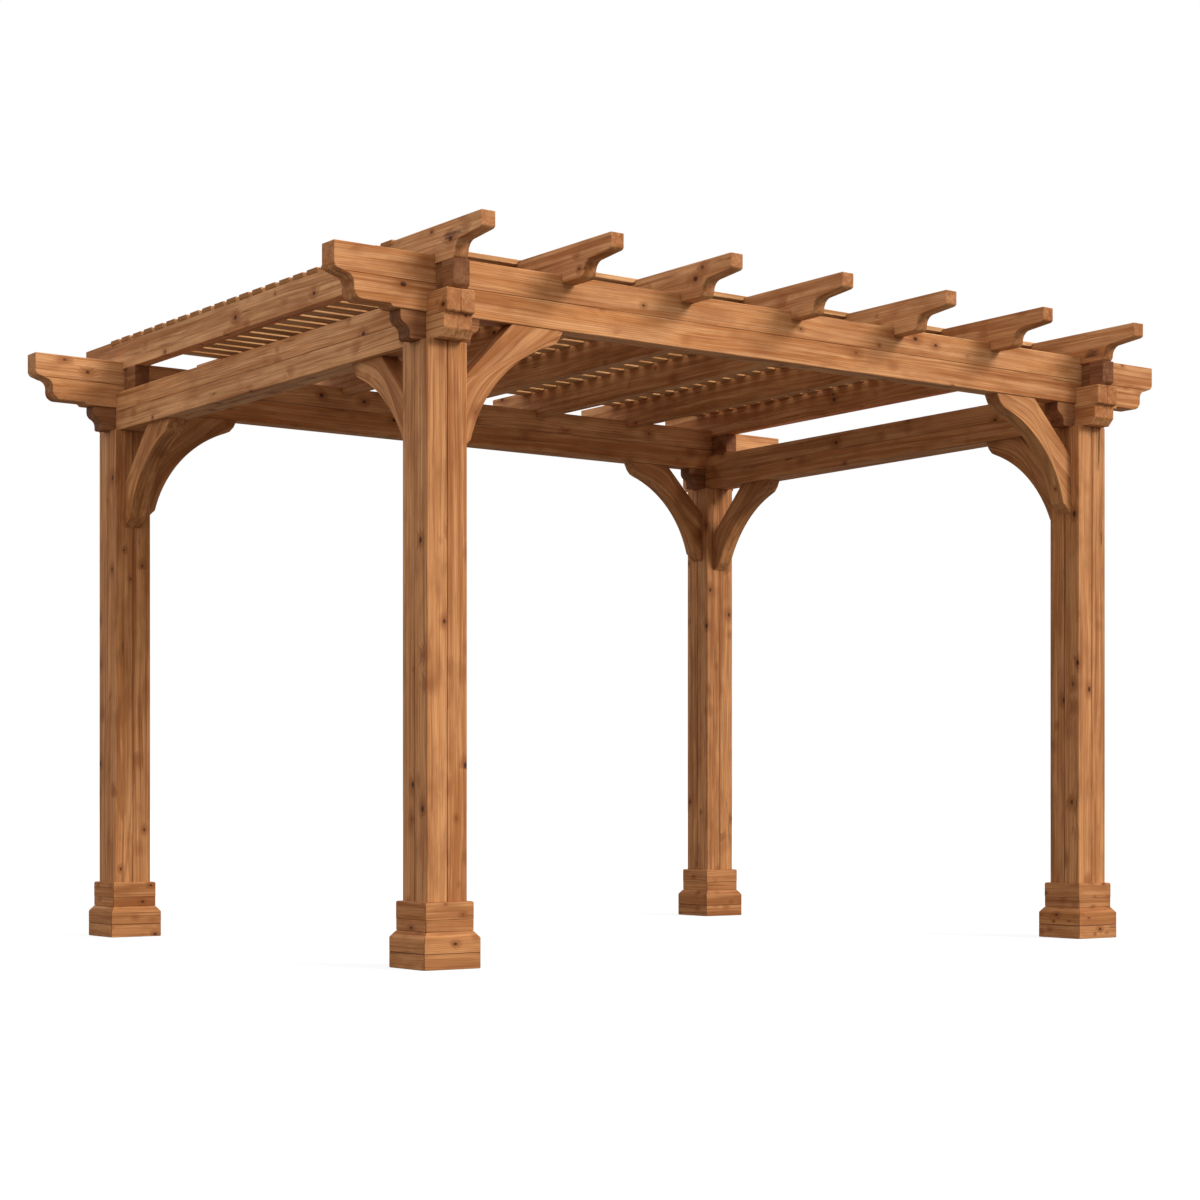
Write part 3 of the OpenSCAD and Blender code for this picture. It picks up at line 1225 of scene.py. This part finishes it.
@dataclass
class Studio:
    """Pale floor, white surroundings, one soft key light and the camera."""

    floor_half: float = 150.0
    floor_colour: str = "#7A7773"
    # How much of the floor's look is plain white, so that shadows on it stay light.
    floor_white: float = 0.8
    # Strength of the light from all round, at eye level and overhead.
    sky_low: float = 0.78
    sky_high: float = 1.35
    key: float = 2.5
    key_angle: float = math.radians(22)
    # The key light stands to the front right: bearing from the front, and height.
    key_bearing: float = math.radians(30)
    key_height: float = math.radians(30)
    # A little warmer than white.
    key_colour: tuple[float, float, float] = (1.0, 0.955, 0.89)
    camera_place: Vector = field(default_factory=lambda: Vector((-6.911, -9.472, 0.6545)))
    camera_bearing: float = math.radians(36.15)
    lens_mm: float = 72.05
    # The view is shifted up, because the camera is low and level.
    rise: float = 0.1685

    def floor(self) -> None:
        """Lays the floor."""
        bm = bmesh.new()
        half = self.floor_half
        corners = ((-half, -half), (half, -half), (half, half), (-half, half))
        bm.faces.new([bm.verts.new((x, y, 0)) for x, y in corners])
        mesh = bpy.data.meshes.new("studio_floor")
        bm.to_mesh(mesh)
        bm.free()
        material, add = new_material("matt white floor paint")
        camera = add(LIGHT_PATH, out="Is Camera Ray")
        tint = add(
            MIX,
            {0: camera, 6: linear(self.floor_colour), 7: linear("#FFFFFF")},
            out=2,
            data_type="RGBA",
        )
        paint = add("ShaderNodeBsdfDiffuse", {"Color": tint})
        white = add("ShaderNodeEmission", {"Strength": 1.0})
        share = add(MATH, (camera, self.floor_white), operation="MULTIPLY")
        add(MATERIAL_OUTPUT, (add("ShaderNodeMixShader", (share, paint, white)),))
        mesh.materials.append(material)
        floor = bpy.data.objects.new("studio_floor", mesh)
        bpy.context.scene.collection.objects.link(floor)

    def surroundings(self) -> None:
        """Sets the world: even light, and plain white where the camera sees it."""
        world = bpy.data.worlds.new("studio")
        bpy.context.scene.world = world
        world.use_nodes = True
        world.node_tree.nodes.clear()
        add = partial(add_node, world.node_tree)
        camera = add(LIGHT_PATH, out="Is Camera Ray")
        glossy = add(LIGHT_PATH, out="Is Glossy Ray")
        seen = add(MATH, (camera, glossy), operation="MAXIMUM")
        height = add("ShaderNodeSeparateXYZ", (add(COORDINATES, out="Generated"),), out="Z")
        level = add(RANGE, (height, 0.0, 1.0, self.sky_low, self.sky_high))
        strength = add(RANGE, (seen, 0.0, 1.0, level, 1.0))
        glow = add("ShaderNodeBackground", {"Color": (1.0, 1.0, 1.0, 1.0), "Strength": strength})
        add("ShaderNodeOutputWorld", (glow,))

    def lamps(self) -> None:
        """Hangs the key light."""
        lamp = bpy.data.lights.new("key", "SUN")
        lamp.energy = self.key
        lamp.angle = self.key_angle
        lamp.color = self.key_colour
        key = bpy.data.objects.new("key", lamp)
        bpy.context.scene.collection.objects.link(key)
        flat = math.cos(self.key_height)
        across, ahead = math.sin(self.key_bearing) * flat, -math.cos(self.key_bearing) * flat
        towards = Vector((across, ahead, math.sin(self.key_height)))
        key.rotation_mode = "QUATERNION"
        key.rotation_quaternion = towards.to_track_quat("Z", "Y")

    def camera(self) -> None:
        """Places the camera, level and low, before the front left corner."""
        lens = bpy.data.cameras.new("camera")
        lens.lens = self.lens_mm
        lens.sensor_width = 36.0
        lens.shift_y = self.rise
        lens.clip_end = 500.0
        camera = bpy.data.objects.new("camera", lens)
        bpy.context.scene.collection.objects.link(camera)
        camera.location = self.camera_place
        camera.rotation_euler = (math.pi / 2, 0.0, -self.camera_bearing)
        bpy.context.scene.camera = camera

    def build(self) -> None:
        """Builds the studio."""
        self.floor()
        self.surroundings()
        self.lamps()
        self.camera()
        bpy.context.scene.view_settings.view_transform = "Standard"


def main(frame: dict) -> None:
    """Builds the pergola and the studio round the frame.
    """
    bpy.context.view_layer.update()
    random = Random(SEED)
    timber = RedwoodFinish("planed redwood").build()
    # Beams and rafters are long lengths from the outer log, which is paler.
    beams = RedwoodFinish(
        "planed redwood beam stock", body="#C17E45", pale="#E0A874", deep="#8A4F26"
    ).build()
    # Boards round the feet: knottier and a shade deeper.
    boards = RedwoodFinish(
        "planed redwood boards",
        body="#AC6D3B",
        pale="#C98F5C",
        ring_mm=8.0,
        rings=0.3,
        knots=0.7,
        knot_spacing_mm=(84.0, 52.0),
        knot_mm=(2.4, 7.0),
    ).build()
    # Corbels and blocks get a darker finish: painted shade, for the shadow of the beams and rafter
    # tails that they sit in.
    darkest_wood = RedwoodFinish(
        "planed redwood darkened as painted shade", body="#885232", pale="#AB754B", deep="#5E341B", knots=0.25
    ).build()
    braces = RedwoodFinish("planed redwood braces", rings=0.22, knots=0.3).build()
    # Slats get a paler finish: painted light, for the light falling on their edges.
    slats = RedwoodFinish(
        "planed redwood lightened as painted light",
        body="#C88E5A",
        pale="#E6B886",
        deep="#96602F",
        knots=0.2,
        # Slat ends are painted fully dark: darker end grain, and painted shade on the ends.
        end_grain=1.0,
    ).build()
    Posts(timber, boards).build(frame, random)
    Beams(beams).build(frame, random)
    Supports(darkest_wood, braces).build(frame, random)
    Rafters(beams).build(frame, random)
    Slats(slats, ScrewFinish().build()).build()
    Studio().build()


if __name__ == "__main__":
    logging.basicConfig(level=logging.INFO, format="%(name)s %(message)s")
    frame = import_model()
    main(frame)
